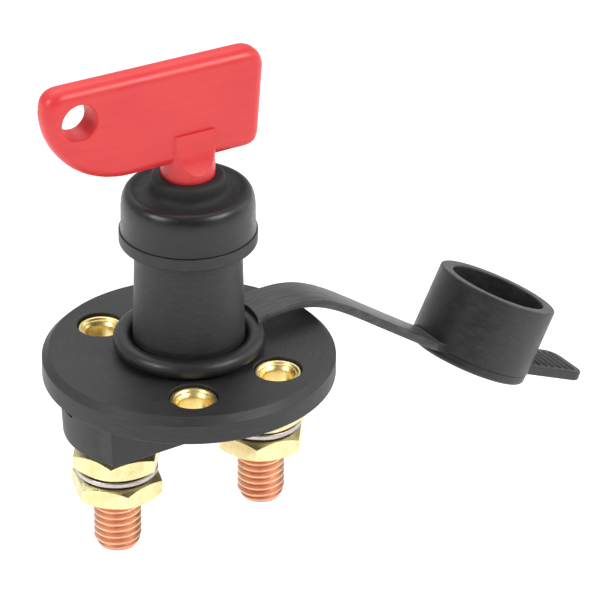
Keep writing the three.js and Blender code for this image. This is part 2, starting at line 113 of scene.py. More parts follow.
# turns a profile of (radius, z) about Z: a loop, or a line that starts and ends on the axis
def latheMesh(name, profile, steps=96):
    points, rings = [], []
    for radius, z in profile:
        if radius < onAxis:
            rings.append([len(points)])
            points.append((0, 0, z))
            continue
        rings.append(list(range(len(points), len(points) + steps)))
        for k in range(steps):
            angle = fullTurn * k / steps
            points.append((radius * math.cos(angle), radius * math.sin(angle), z))
    isLoop = profile[0][0] > onAxis
    faces = []
    for lower, upper in zip(rings, rings[1:] + (rings[:1] if isLoop else [])):
        for k in range(steps):
            after = (k + 1) % steps
            corners = [lower[k % len(lower)], lower[after % len(lower)],
                       upper[after % len(upper)], upper[k % len(upper)]]
            faces.append(list(dict.fromkeys(corners)))
    return makePiece(name, points, faces)


# joins rings of points into a skin; open ends are closed with one face each
def loftMesh(name, rings, isLoop=False):
    count = len(rings[0])
    points = [point for ring in rings for point in ring]
    faces = []
    pairs = len(rings) if isLoop else len(rings) - 1
    for k in range(pairs):
        here, there = k * count, ((k + 1) % len(rings)) * count
        for i in range(count):
            after = (i + 1) % count
            faces.append([here + i, here + after, there + after, there + i])
    if not isLoop:
        faces.append(list(range(count)))
        faces.append([(len(rings) - 1) * count + i for i in range(count)])
    return makePiece(name, points, faces)


def boxMesh(name, low, high):
    ring = [(low[0], low[1]), (high[0], low[1]), (high[0], high[1]), (low[0], high[1])]
    return loftMesh(name, [[(x, y, z) for x, y in ring] for z in (low[2], high[2])])


def shifted(piece, x=0, y=0, z=0):
    piece.data.transform(Matrix.Translation((x * mm, y * mm, z * mm)))
    return piece


def applyModifiers(piece):
    graph = bpy.context.evaluated_depsgraph_get()
    mesh = bpy.data.meshes.new_from_object(piece.evaluated_get(graph))
    piece.modifiers.clear()
    piece.data = mesh


# closes the slivers that a cut leaves between points a few microns apart
def weld(piece, reach=0.004, widestHole=6):
    work = bmesh.new()
    work.from_mesh(piece.data)
    bmesh.ops.remove_doubles(work, verts=work.verts, dist=reach * mm)
    bmesh.ops.dissolve_degenerate(work, dist=reach * mm, edges=work.edges)
    openEdges = [edge for edge in work.edges if edge.is_boundary]
    bmesh.ops.holes_fill(work, edges=openEdges, sides=widestHole)
    work.to_mesh(piece.data)
    work.free()
    return piece


def combine(piece, operation, *others):
    for other in others:
        step = piece.modifiers.new(operation.lower(), "BOOLEAN")
        step.operation = operation
        step.object = other
        step.solver = "EXACT"
        applyModifiers(piece)
        bpy.data.objects.remove(other)
    return weld(piece)


def roundEdges(piece, width, angle=35, segments=3):
    bevel = piece.modifiers.new("edges", "BEVEL")
    bevel.width = width * mm
    bevel.segments = segments
    bevel.limit_method = "ANGLE"
    bevel.angle_limit = math.radians(angle)
    applyModifiers(piece)
    return piece


# shading, material, body and the CAD nodes that the piece stands for
def settle(piece, material, body, nodes, sharpAngle=32, weighted=True):
    mesh = piece.data
    mesh.materials.clear()
    mesh.materials.append(material)
    mesh.shade_smooth()
    mesh.set_sharp_from_angle(angle=math.radians(sharpAngle))
    if weighted:
        normals = piece.modifiers.new("normals", "WEIGHTED_NORMAL")
        normals.keep_sharp = True
        normals.weight = 80
    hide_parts(*nodes)
    if body:
        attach(piece, body)
    return piece


# finishes

# place is (location in millimetres, rotation in degrees) of a piece's own axis,
# for a piece that isn't turned about the barrel's
def startMaterial(name, place=None):
    material = bpy.data.materials.new(name)
    material.use_nodes = True
    tree = material.node_tree
    coords = tree.nodes.new("ShaderNodeTexCoord").outputs["Object"]
    if place:
        mapping = tree.nodes.new("ShaderNodeMapping")
        mapping.vector_type = "TEXTURE"
        mapping.inputs["Location"].default_value = [value * mm for value in place[0]]
        mapping.inputs["Rotation"].default_value = [math.radians(value) for value in place[1]]
        tree.links.new(coords, mapping.inputs["Vector"])
        coords = mapping.outputs["Vector"]
    return material, tree, tree.nodes["Principled BSDF"], coords


# links a socket to another node's output, or sets it to a plain value
def feed(tree, socket, value):
    if isinstance(value, bpy.types.NodeSocket):
        tree.links.new(value, socket)
    else:
        socket.default_value = value


def mathNode(tree, kind, operation, values):
    node = tree.nodes.new(kind)
    node.operation = operation
    for socket, value in zip(node.inputs, values):
        feed(tree, socket, value)
    return node


def vectorMath(tree, operation, *values):
    node = mathNode(tree, "ShaderNodeVectorMath", operation, values)
    return node.outputs["Value" if operation in ("LENGTH", "DOT_PRODUCT") else "Vector"]


def numberMath(tree, operation, *values):
    return mathNode(tree, "ShaderNodeMath", operation, values).outputs[0]


def axisDistance(tree, coords):
    return vectorMath(tree, "LENGTH", vectorMath(tree, "MULTIPLY", coords, (1, 1, 0)))


def noise(tree, coords, perMetre, detail=3, roughness=0.55, stretch=(1, 1, 1)):
    texture = tree.nodes.new("ShaderNodeTexNoise")
    texture.inputs["Scale"].default_value = perMetre
    texture.inputs["Detail"].default_value = detail
    texture.inputs["Roughness"].default_value = roughness
    tree.links.new(vectorMath(tree, "MULTIPLY", coords, stretch), texture.inputs["Vector"])
    return texture.outputs["Fac"]


# hairlines that run round the Z axis, as a turning tool or a polished mould leaves them
def turnedLines(tree, coords, perMetre, around=6):
    flat = vectorMath(tree, "MULTIPLY", coords, (1, 1, 0))
    upright = vectorMath(tree, "MULTIPLY", coords, (0, 0, perMetre))
    direction = vectorMath(tree, "NORMALIZE", flat)
    circling = vectorMath(tree, "MULTIPLY", direction, (around, around, 0))
    place = vectorMath(tree, "ADD", circling, upright)
    texture = tree.nodes.new("ShaderNodeTexNoise")
    texture.noise_dimensions = "4D"
    texture.inputs["Scale"].default_value = 1
    texture.inputs["Detail"].default_value = 2
    tree.links.new(place, texture.inputs["Vector"])
    radius = numberMath(tree, "MULTIPLY", vectorMath(tree, "LENGTH", flat), perMetre)
    tree.links.new(radius, texture.inputs["W"])
    return texture.outputs["Fac"]


# runs from low to high while the value rises between two levels
def spread(tree, value, low, high, between=(0.3, 0.7)):
    node = tree.nodes.new("ShaderNodeMapRange")
    for name, number in (("From Min", between[0]), ("From Max", between[1]),
                         ("To Min", low), ("To Max", high)):
        node.inputs[name].default_value = number
    tree.links.new(value, node.inputs["Value"])
    return node.outputs["Result"]


def mixColors(tree, share, first, second):
    node = tree.nodes.new("ShaderNodeMix")
    node.data_type = "RGBA"
    tree.links.new(share, node.inputs["Factor"])
    for name, color in (("A", first), ("B", second)):
        socket = next(s for s in node.inputs if s.name == name and s.type == "RGBA")
        feed(tree, socket, (*color, 1) if isinstance(color, tuple) else color)
    return next(s for s in node.outputs if s.type == "RGBA")


# lets a second colour through where a pattern is strong
def tinted(tree, base, color, pattern, most=1, between=(0.3, 0.7)):
    return mixColors(tree, spread(tree, pattern, 0, most, between), base, color)


# each layer is (pattern, roughness where it is weak, roughness where it is strong)
def layeredRoughness(tree, first, second):
    return numberMath(tree, "ADD", spread(tree, *first), spread(tree, *second))


# stacks height textures; each is (height, depth in millimetres)
def bumps(tree, shader, *layers):
    normal = None
    for height, depth in layers:
        node = tree.nodes.new("ShaderNodeBump")
        node.inputs["Strength"].default_value = 1
        node.inputs["Distance"].default_value = depth * mm
        tree.links.new(height, node.inputs["Height"])
        if normal:
            tree.links.new(normal, node.inputs["Normal"])
        normal = node.outputs["Normal"]
    tree.links.new(normal, shader.inputs["Normal"])


# 0 on a flat face, rising to 1 along an outside edge
def edgeWear(tree, radius):
    bevel = tree.nodes.new("ShaderNodeBevel")
    bevel.samples = 4
    bevel.inputs["Radius"].default_value = radius * mm
    geometry = tree.nodes.new("ShaderNodeNewGeometry")
    facing = vectorMath(tree, "DOT_PRODUCT", bevel.outputs["Normal"], geometry.outputs["Normal"])
    return spread(tree, facing, 1, 0, between=(0.82, 0.995))


def mouldedPlastic(name, look):
    material, tree, shader, coords = startMaterial(name)
    clouds = noise(tree, coords, perMetre=90, detail=4)
    specks = noise(tree, coords, perMetre=2600, detail=2, roughness=0.7)
    grain = noise(tree, coords, perMetre=5200, detail=2)
    lines = turnedLines(tree, coords, look["linesPerMetre"])
    body = tinted(tree, look["dark"], look["light"], clouds)
    lit = tinted(tree, body, look["scuffed"], lines, look["lineTint"], between=(0.45, 0.75))
    rubbed = numberMath(tree, "MULTIPLY", edgeWear(tree, look["wearRadius"]), look["wear"])
    worn = mixColors(tree, rubbed, lit, look["scuffed"])
    tree.links.new(worn, shader.inputs["Base Color"])
    rough = layeredRoughness(tree, (clouds, *look["rough"]), (specks, -0.03, 0.03))
    tree.links.new(rough, shader.inputs["Roughness"])
    bumps(tree, shader, (grain, look["grainDepth"]), (lines, look["lineDepth"]))
    return material


def softRubber(name, look):
    material, tree, shader, coords = startMaterial(name, look.get("place"))
    clouds = noise(tree, coords, perMetre=120, detail=4)
    bloom = noise(tree, coords, perMetre=420, detail=5, roughness=0.65)
    grain = noise(tree, coords, perMetre=4200, detail=3)
    if look["lines"] == "turned":
        lines = turnedLines(tree, coords, look["linesPerMetre"])
    else:  # drawn out along X, the way the strap runs
        lines = noise(tree, coords, look["linesPerMetre"], detail=2, roughness=0.5,
                      stretch=(0.035, 1, 0.12))
    base = tinted(tree, look["dark"], look["light"], clouds)
    # bloom and streaks in the dust colour; on the strap both are partly rubber dust and mould
    # lines, partly painted sheen
    dusted = tinted(tree, base, look["dustAndSheen"], bloom, look["bloom"], between=(0.5, 0.8))
    streaked = tinted(tree, dusted, look["dustAndSheen"], lines, look["lineTint"], between=(0.45, 0.75))
    tree.links.new(streaked, shader.inputs["Base Color"])
    rough = layeredRoughness(tree, (bloom, *look["rough"]), (lines, -0.04, 0.06))
    if "matteWithin" in look:  # the middle stays duller than the handled shoulder
        edge = look["matteWithin"] * mm
        fade = (edge - 0.8 * mm, edge + 0.4 * mm)
        duller = spread(tree, axisDistance(tree, coords), look["matteExtra"], 0, fade)
        rough = numberMath(tree, "ADD", rough, duller)
    tree.links.new(rough, shader.inputs["Roughness"])
    bumps(tree, shader, (grain, look["grainDepth"]), (lines, look["lineDepth"]))
    return material


def turnedMetal(name, look):
    material, tree, shader, coords = startMaterial(name)
    shader.inputs["Metallic"].default_value = 1
    tarnish = noise(tree, coords, perMetre=260, detail=5, roughness=0.6)
    pits = noise(tree, coords, perMetre=2400, detail=3, roughness=0.6)
    scratches = noise(tree, coords, perMetre=1500, detail=2, roughness=0.5,
                      stretch=look["scratchRun"])
    base = tinted(tree, look["bright"], look["dull"], tarnish, between=(0.42, 0.72))
    spotted = tinted(tree, base, look["spot"], pits, look["spots"], between=(0.6, 0.75))
    if "groove" in look:  # painted shade: darker towards the thread's root, by distance from the axis
        groove = [radius * mm for radius in look["groove"]]
        depth = spread(tree, axisDistance(tree, coords), look["grooveShadeShare"], 0, groove)
        spotted = mixColors(tree, depth, spotted, look["grooveShadeColor"])
    rubbed = numberMath(tree, "MULTIPLY", edgeWear(tree, look["wearRadius"]), look["wear"])
    polished = mixColors(tree, rubbed, spotted, look["bright"])
    tree.links.new(polished, shader.inputs["Base Color"])
    rough = layeredRoughness(tree, (tarnish, *look["rough"]), (scratches, -0.04, 0.08))
    tree.links.new(rough, shader.inputs["Roughness"])
    bumps(tree, shader, (scratches, look["scratchDepth"]), (pits, look["pitDepth"]))
    return material


blackNylon = mouldedPlastic("blackNylon", {
    "dark": (0.0135, 0.0135, 0.0143), "light": (0.02, 0.02, 0.0208), "scuffed": (0.08, 0.08, 0.082),
    "linesPerMetre": 2600, "lineTint": 0.16, "lineDepth": 0.006, "grainDepth": 0.012,
    "rough": (0.44, 0.56), "wearRadius": 0.3, "wear": 0.3,
})
acetal = mouldedPlastic("acetal", {
    "dark": (0.66, 0.63, 0.54), "light": (0.74, 0.71, 0.63), "scuffed": (0.8, 0.78, 0.72),
    "linesPerMetre": 1800, "lineTint": 0.1, "lineDepth": 0.004, "grainDepth": 0.006,
    "rough": (0.3, 0.4), "wearRadius": 0.3, "wear": 0.3,
})
bootRubber = softRubber("bootRubber", {
    "dark": (0.007, 0.007, 0.0075), "light": (0.010, 0.010, 0.0108), "dustAndSheen": (0.045, 0.045, 0.047),
    "lines": "turned", "linesPerMetre": 1500, "lineTint": 0.05, "lineDepth": 0.004,
    "grainDepth": 0.006,
    "bloom": 0.12, "rough": (0.28, 0.38), "matteWithin": 12.4, "matteExtra": 0.34,
})
capRubber = softRubber("capRubber", {
    "dark": (0.013, 0.013, 0.0136), "light": (0.0195, 0.0195, 0.0203), "dustAndSheen": (0.09, 0.09, 0.092),
    "lines": "turned", "linesPerMetre": 1700, "lineTint": 0.16, "lineDepth": 0.006,
    "grainDepth": 0.01,
    "bloom": 0.09, "rough": (0.4, 0.5), "place": ((70.7, 0, -19.2), (0, 28, 0)),
})
ringRubber = softRubber("ringRubber", {
    "dark": (0.010, 0.010, 0.0105), "light": (0.015, 0.015, 0.0158), "dustAndSheen": (0.055, 0.055, 0.057),
    "lines": "turned", "linesPerMetre": 1500, "lineTint": 0.08, "lineDepth": 0.005,
    "grainDepth": 0.008,
    "bloom": 0.12, "rough": (0.36, 0.46),
})
# the strap's light base colour, bloom and lengthwise streaks are partly rubber dust and mould
# lines, partly painted sheen of the light along its top
strapRubber = softRubber("strapRubber", {
    "dark": (0.02, 0.02, 0.0206), "light": (0.033, 0.033, 0.034), "dustAndSheen": (0.2, 0.2, 0.203),
    "lines": "lengthwise", "linesPerMetre": 3000, "lineTint": 0.42, "lineDepth": 0.02,
    "grainDepth": 0.008,
    "bloom": 0.16, "rough": (0.36, 0.46),
})
yellowBrass = turnedMetal("yellowBrass", {
    "bright": (0.84, 0.77, 0.43), "dull": (0.7, 0.59, 0.26), "spot": (0.42, 0.27, 0.08),
    "spots": 0.5,
    "scratchRun": (1, 1, 0.06), "scratchDepth": 0.01, "pitDepth": 0.006, "wearRadius": 0.25,
    "wear": 0.6, "rough": (0.24, 0.38),
})
goldenBrass = turnedMetal("goldenBrass", {
    "bright": (0.92, 0.76, 0.34), "dull": (0.84, 0.62, 0.22), "spot": (0.5, 0.3, 0.07),
    "spots": 0.3,
    "scratchRun": (1, 1, 0.3), "scratchDepth": 0.003, "pitDepth": 0.002, "wearRadius": 0.25,
    "wear": 0.5, "rough": (0.3, 0.42),
})
redCopper = turnedMetal("redCopper", {
    "bright": (0.95, 0.58, 0.4), "dull": (0.84, 0.43, 0.27), "spot": (0.3, 0.12, 0.07),
    "spots": 0.55,
    "scratchRun": (0.2, 0.2, 1), "scratchDepth": 0.01, "pitDepth": 0.014, "wearRadius": 0.25,
    "wear": 0.15, "rough": (0.26, 0.42),
    # painted shade in the thread's grooves
    "groove": (4.2, 4.95), "grooveShadeColor": (0.42, 0.13, 0.07), "grooveShadeShare": 0.5,
})
springSteel = turnedMetal("springSteel", {
    "bright": (0.6, 0.55, 0.55), "dull": (0.42, 0.37, 0.36), "spot": (0.28, 0.2, 0.18),
    "spots": 0.3,
    "scratchRun": (0.15, 0.15, 1), "scratchDepth": 0.012, "pitDepth": 0.006, "wearRadius": 0.25,
    "wear": 0.4, "rough": (0.22, 0.36),
})


redLook = {
    "dark": (0.65, 0.0245, 0.028), "light": (0.705, 0.036, 0.039), "flow": (0.84, 0.07, 0.07),
    "speck": (0.42, 0.012, 0.015), "rough": (0.34, 0.43), "peelDepth": 0.008, "grainDepth": 0.004,
    "glow": 0.06, "glowDepth": 0.0012, "glowReach": (0.9, 0.2, 0.15),
}


def keyPlastic(look):
    material, tree, shader, coords = startMaterial("signalRed")
    clouds = noise(tree, coords, perMetre=55, detail=4)
    specks = noise(tree, coords, perMetre=1900, detail=2, roughness=0.7)
    peel = noise(tree, coords, perMetre=700, detail=2)
    grain = noise(tree, coords, perMetre=4600, detail=2)
    flow = noise(tree, coords, perMetre=900, detail=3, roughness=0.6, stretch=(0.08, 1, 1))
    base = tinted(tree, look["dark"], look["light"], clouds)
    streaked = tinted(tree, base, look["flow"], flow, 0.25, between=(0.5, 0.8))
    dotted = tinted(tree, streaked, look["speck"], specks, 0.35, between=(0.7, 0.78))
    tree.links.new(dotted, shader.inputs["Base Color"])
    tree.links.new(spread(tree, clouds, *look["rough"]), shader.inputs["Roughness"])
    shader.inputs["Subsurface Weight"].default_value = look["glow"]
    shader.inputs["Subsurface Radius"].default_value = look["glowReach"]
    shader.inputs["Subsurface Scale"].default_value = look["glowDepth"]
    bumps(tree, shader, (peel, look["peelDepth"]), (grain, look["grainDepth"]))
    return material


signalRed = keyPlastic(redLook)
print("finishes made")


# moulded body: flange, barrel, collar and spigot

body = {
    "flangeRadius": 30.5, "flangeTop": 5.7, "chamfer": 1.45,
    "footRadius": 11.73, "neckRadius": 11.08, "collarRadius": 14.3, "collarBottom": 30.9,
    "collarTop": 33.7,
    "spigotRadius": 11, "spigotTop": 39.6, "rotorBore": 8.6, "rotorCeiling": 26, "keyBore": 6.15,
    "bridgeRoom": (22.9, 6.3, 4.0), "collarFlare": 0.02, "hookHalfWidth": 2.2,
    # the snap hook's side view, as (x, z)
    "hook": [(23.9, -4.6), (25.6, -4.6), (25.6, -2.4), (27.6, -2.1), (27.6, -1.3), (25.6, -1.1),
             (25.6, 0.4), (23.9, 0.4)],
}
fixing = {"x": 10.3, "y": 17.84, "hole": 4.0, "recess": 5.05, "recessFloor": 3.9,
          "lipRound": 0.18}
fixingPlaces = [(x, y) for x in (-fixing["x"], fixing["x"]) for y in (-fixing["y"], fixing["y"])]


def fixingCutter(x, y):
    top, lip = body["flangeTop"], fixing["lipRound"]
    flare = [(fixing["recess"] + lip * (1 - math.cos(a)), top - lip + lip * math.sin(a))
             for a in (math.radians(15 * k) for k in range(7))]
    profile = [(0, -1), (fixing["hole"], -1), (fixing["hole"], fixing["recessFloor"]),
               (fixing["recess"], fixing["recessFloor"])]
    profile += flare + [(fixing["recess"] + lip, top + 1), (0, top + 1)]
    return shifted(latheMesh("fixingCutter", profile, 64), x, y)


def housingHook(side):
    half = body["hookHalfWidth"]
    return loftMesh("hook", [[(side * x, y, z) for x, z in body["hook"]] for y in (-half, half)])


def buildBody():
    b = body
    profile = softOutline([
        (b["rotorBore"], 0, 0.2), (b["flangeRadius"], 0, 0.3),
        (b["flangeRadius"], b["flangeTop"] - b["chamfer"], 0.3),
        (b["flangeRadius"] - b["chamfer"], b["flangeTop"], 0.3),
        (b["footRadius"], b["flangeTop"], 0.6), (b["neckRadius"], b["collarBottom"], 0.35),
        (b["collarRadius"], b["collarBottom"], 0.4),
        (b["collarRadius"] + b["collarFlare"], b["collarTop"], 0.18),
        (b["spigotRadius"], b["collarTop"], 0.25), (b["spigotRadius"], b["spigotTop"], 0.6),
        (b["keyBore"], b["spigotTop"], 0.3), (b["keyBore"], b["rotorCeiling"], 0.2),
        (b["rotorBore"], b["rotorCeiling"], 0.2),
    ])
    piece = latheMesh("switchBody", profile, 128)
    half, side, top = b["bridgeRoom"]
    combine(piece, "UNION", housingHook(1), housingHook(-1))
    combine(piece, "DIFFERENCE", boxMesh("room", (-half, -side, -1), (half, side, top)),
            *[fixingCutter(x, y) for x, y in fixingPlaces])
    return settle(piece, blackNylon, "housing", ["switch_body"])


buildBody()
print("moulded body made")


# flared brass ferrules in the four fixing holes

ferrule = {"rim": 4.85, "tube": 3.7, "bore": 3.1, "top": 5.1, "lip": 0.5, "lipWidth": 0.62,
           "lipFall": 0.1, "throat": 1.45}


def buildFerrule(name, node, x, y):
    f = ferrule
    profile = softOutline([
        (f["bore"], 0, 0.15), (f["tube"], 0, 0.15), (f["tube"], f["top"] - f["lip"], 0.1),
        (f["rim"], f["top"] - f["lip"], 0.12), (f["rim"], f["top"], 0.28),
        (f["rim"] - f["lipWidth"], f["top"] - f["lipFall"], 0.3),
        (f["bore"], f["top"] - f["throat"], 1.2),
    ], arcSteps=8)
    piece = latheMesh(name, profile, 64)
    piece.location = (x * mm, y * mm, 0)
    return settle(piece, goldenBrass, "housing", [node], weighted=False)


corners = ["left_front", "left_rear", "right_front", "right_rear"]
ferruleNames = ["ferruleLeftFront", "ferruleLeftRear", "ferruleRightFront", "ferruleRightRear"]
for name, corner, (x, y) in zip(ferruleNames, corners, fixingPlaces):
    buildFerrule(name, "ferrule_" + corner, x, y)
print("ferrules made")


# contact housing under the flange

housing = {
    "halfWidth": 13.3, "cornerX": 26.8, "endRadius": 17.2, "endX": 12.2, "endY": 2.6, "top": 0.3,
    "bottom": -8.3, "wall": 2.4, "floor": 3.0, "draft": 1.02, "bossRadius": 7.5,
    "bossBottom": -11.4,
    "studX": 17.84, "studHole": 5.3, "edge": 0.35, "seat": (6.6, 7.6, 1), "sink": 0.5,
    "rib": (5, 5.8, 7.0, 1.6),  # half length, near side, far side and height
    "hookSlots": [((25, -2.4, -2.5), (31, 2.4, 1)), ((-31, -2.4, -0.9), (-25, 2.4, 1))],
}


# two opposite corners are square and the other two are swept round
def housingOutline(margin):
    h = housing
    half, radius = h["halfWidth"] - margin, h["endRadius"] - margin
    arcSteps = 40
    outline = []
    for side in (1, -1):
        end = -math.asin((half + h["endY"]) / radius)
        # the arc's first ninth gives way to the square corner
        start = math.asin((half - h["endY"]) / radius) * 8 / 9 + end / 9
        outline.append((side * (h["cornerX"] - margin), side * half))
        for k in range(arcSteps + 1):
            angle = start + (end - start) * k / arcSteps
            outline.append((side * (h["endX"] + radius * math.cos(angle)),
                            side * (h["endY"] + radius * math.sin(angle))))
    return outline


def housingBlock(name, margin, low, high):
    h = housing
    rings = []
    for z in (low, high):
        rise = (z - h["bottom"]) / (h["top"] - h["bottom"])
        scale = 1 + (h["draft"] - 1) * rise
        rings.append([(x * scale, y * scale, z) for x, y in housingOutline(margin)])
    return loftMesh(name, rings)


def studBoss(x):
    h = housing
    top = h["bottom"] + h["sink"]
    profile = softOutline([(0, h["bossBottom"], 0), (h["bossRadius"], h["bossBottom"], 0.4),
                           (h["bossRadius"], top, 0), (0, top, 0)], closed=False)
    return shifted(latheMesh("boss", profile, 72), x)


def plainRod(name, radius, low, high, x=0, steps=64):
    profile = [(0, low), (radius, low), (radius, high), (0, high)]
    return shifted(latheMesh(name, profile, steps), x)


def buildHousing():
    h = housing
    piece = housingBlock("contactHousing", 0, h["bottom"], h["top"])
    roundEdges(piece, h["edge"], angle=40)
    floorTop = h["bottom"] + h["floor"]
    studPlaces = (-h["studX"], h["studX"])
    combine(piece, "DIFFERENCE", housingBlock("cavity", h["wall"], floorTop, h["top"] + 1))
    combine(piece, "UNION", *[studBoss(x) for x in studPlaces])
    holes = [plainRod("studHole", h["studHole"], h["bossBottom"] - 1.6, floorTop + 1, x)
             for x in studPlaces]
    slots = [boxMesh("slot", low, high) for low, high in h["hookSlots"]]
    combine(piece, "DIFFERENCE", *holes, *slots)
    ribLow = floorTop - h["sink"]
    inner, outer, height = h["seat"]
    seat = latheMesh("seat", [(inner, ribLow), (outer, ribLow), (outer, floorTop + height),
                              (inner, floorTop + height)], 64)
    ribs = []
    halfLength, near, far, height = h["rib"]
    for x in studPlaces:
        for low, high in ((-far, -near), (near, far)):
            ribs.append(boxMesh("rib", (x - halfLength, low, ribLow),
                                (x + halfLength, high, floorTop + height)))
    combine(piece, "UNION", seat, *ribs)
    return settle(piece, blackNylon, "housing", ["contact_housing"])


buildHousing()
print("contact housing made")


# terminals: threaded copper studs, brass nuts, split spring washers

stud = {
    "crest": 4.98, "depth": 0.82, "pitch": 1.5, "tip": -35.4, "tipRadius": 4.05, "chamfer": 1.7,
    "headHalf": 5.5, "headClip": 1, "headRound": 0.3, "headBottom": -5.0, "headTop": -2.85,
    "overlap": 0.4, "leastRadius": 1.5,
}
nutSize = {"acrossFlats": 17, "height": 4.6, "bore": 5.04, "sinkRadius": 5.7, "faceRadius": 8.0,
           "chamfer": 1.0, "cornerRound": 0.35, "edge": 0.09, "flatSteps": 14,
           "lockTop": -11.7, "terminalTop": -18.4}
springRing = {"outer": 8.6, "bore": 5.4, "thickness": 1.1, "rise": 0.35, "top": -16.38,
              "gapAngle": 7, "cornerRound": 0.25}
terminals = {
    "left": {"x": -17.84, "lockTurn": -9.8, "nutTurn": 12.2, "slitTurn": 60},
    "right": {"x": 17.84, "lockTurn": 14, "nutTurn": -8.3, "slitTurn": 30},
}
# the thread's section along one pitch: (share of the pitch, share of the depth)
threadSection = [(0, 0), (0.09, 0.04), (0.2, 0.4), (0.32, 0.82), (0.42, 1), (0.58, 1),
                 (0.68, 0.82), (0.8, 0.4), (0.91, 0.04)]


def threadedRod(name):
    s = stud
    steps = 64
    turns = int((s["headBottom"] - s["tip"]) / s["pitch"]) + 3
    startZ = s["tip"] - 1.2 * s["pitch"]  # both ends run over, and are cut flat below
    growth = (s["crest"] - s["tipRadius"]) / s["chamfer"]
    points, faces = [], []
    for k in range(steps + 1):
        angle = fullTurn * k / steps
        for turn in range(turns):
            for share, depth in threadSection:
                z = startZ + s["pitch"] * (turn + share + k / steps)
                slope = s["tipRadius"] + (z - s["tip"]) * growth
                radius = max(s["leastRadius"], min(s["crest"] - s["depth"] * depth, slope))
                points.append((radius * math.cos(angle), radius * math.sin(angle), z))
    rows = turns * len(threadSection)
    for k in range(steps):
        for row in range(rows - 1):
            a = k * rows + row
            faces.append([a, a + rows, a + rows + 1, a + 1])
    piece = makePiece(name, points, faces)
    work = bmesh.new()
    work.from_mesh(piece.data)
    bmesh.ops.remove_doubles(work, verts=work.verts, dist=1e-7)
    for z, normal in ((s["tip"], (0, 0, -1)), (s["headBottom"] + s["overlap"], (0, 0, 1))):
        geometry = work.verts[:] + work.edges[:] + work.faces[:]
        cut = bmesh.ops.bisect_plane(work, geom=geometry, plane_co=(0, 0, z * mm),
                                     plane_no=normal, clear_outer=True)["geom_cut"]
        rim = [part for part in cut if isinstance(part, bmesh.types.BMEdge)]
        bmesh.ops.holes_fill(work, edges=rim)
    bmesh.ops.recalc_face_normals(work, faces=work.faces)
    work.to_mesh(piece.data)
    work.free()
    return piece


def studHead():
    s = stud
    half, clip = s["headHalf"], s["headHalf"] - s["headClip"]
    spots = [(-clip, -half), (clip, -half), (half, -clip), (half, clip),
             (clip, half), (-clip, half), (-half, clip), (-half, -clip)]
    outline = softOutline([(x, y, s["headRound"]) for x, y in spots])
    levels = (s["headBottom"], s["headTop"])
    head = loftMesh("head", [[(x, y, z) for x, y in outline] for z in levels])
    return roundEdges(head, 0.2, angle=60, segments=2)


def hexOutline(turn):
    corner = nutSize["acrossFlats"] / math.sqrt(3)
    angles = [math.radians(turn + 60 * k) for k in range(6)]
    rounded = softOutline([(corner * math.cos(a), corner * math.sin(a), nutSize["cornerRound"])
                           for a in angles], arcSteps=4)
    outline = []
    for k, (x, y) in enumerate(rounded):
        nextX, nextY = rounded[(k + 1) % len(rounded)]
        isFlat = math.hypot(nextX - x, nextY - y) > 2
        steps = nutSize["flatSteps"] if isFlat else 1
        outline += [(x + (nextX - x) * i / steps, y + (nextY - y) * i / steps)
                    for i in range(steps)]
    return outline


# each face of the nut is dressed by a cone, which scallops the six flats
def buildNut(name, node, top, turn, x, bodyName):
    n = nutSize
    outline = hexOutline(turn)
    bottom = top - n["height"]
    widest = n["acrossFlats"] / math.sqrt(3)
    slope = n["chamfer"] / (widest - n["faceRadius"])

    def circle(radius, z):
        return [(radius * px / math.hypot(px, py), radius * py / math.hypot(px, py), z)
                for px, py in outline]

    def flatEdge(face, towards):
        return [(px, py, face + towards * slope * max(0, math.hypot(px, py) - n["faceRadius"]))
                for px, py in outline]

    sink = n["sinkRadius"] - n["bore"]
    rings = [circle(n["bore"], bottom + sink), circle(n["sinkRadius"], bottom),
             circle(n["faceRadius"], bottom), flatEdge(bottom, 1), flatEdge(top, -1),
             circle(n["faceRadius"], top), circle(n["sinkRadius"], top),
             circle(n["bore"], top - sink)]
    piece = loftMesh(name, rings, isLoop=True)
    roundEdges(piece, n["edge"], angle=22, segments=2)
    piece.location = (x * mm, 0, 0)
    return settle(piece, yellowBrass, bodyName, [node], sharpAngle=40)


def buildSpringWasher(name, node, x, slitTurn, bodyName):
    w = springRing
    steps = 90
    middle, half = (w["outer"] + w["bore"]) / 2, (w["outer"] - w["bore"]) / 2
    rise = w["thickness"] / 2
    spots = [(-half, -rise), (half, -rise), (half, rise), (-half, rise)]
    section = softOutline([(u, v, w["cornerRound"]) for u, v in spots], arcSteps=4)
    rings = []
    for k in range(steps + 1):
        share = k / steps
        angle = math.radians(slitTurn + w["gapAngle"] / 2 + (360 - w["gapAngle"]) * share)
        height = w["top"] - w["thickness"] / 2 - w["rise"] * (1 - share)
        rings.append([((middle + u) * math.cos(angle), (middle + u) * math.sin(angle), height + v)
                      for u, v in section])
    piece = loftMesh(name, rings)
    piece.location = (x * mm, 0, 0)
    return settle(piece, springSteel, bodyName, [node], sharpAngle=45)


for side, place in terminals.items():
    label, x = side.capitalize(), place["x"]
    threaded = combine(threadedRod("terminalStud" + label), "UNION", studHead())
    threaded.location = (x * mm, 0, 0)
    settle(threaded, redCopper, "housing", [side + "_terminal_stud"], weighted=False)
    buildNut("lockNut" + label, side + "_lock_nut", nutSize["lockTop"], place["lockTurn"], x,
             "housing")
    buildSpringWasher("springWasher" + label, side + "_spring_washer", x, place["slitTurn"],
                      side + "_washer")
    buildNut("terminalNut" + label, side + "_terminal_nut", nutSize["terminalTop"],
             place["nutTurn"], x, side + "_nut")
print("terminals made")


# red key: rounded plate, round shaft with two leaning flats, drive blade

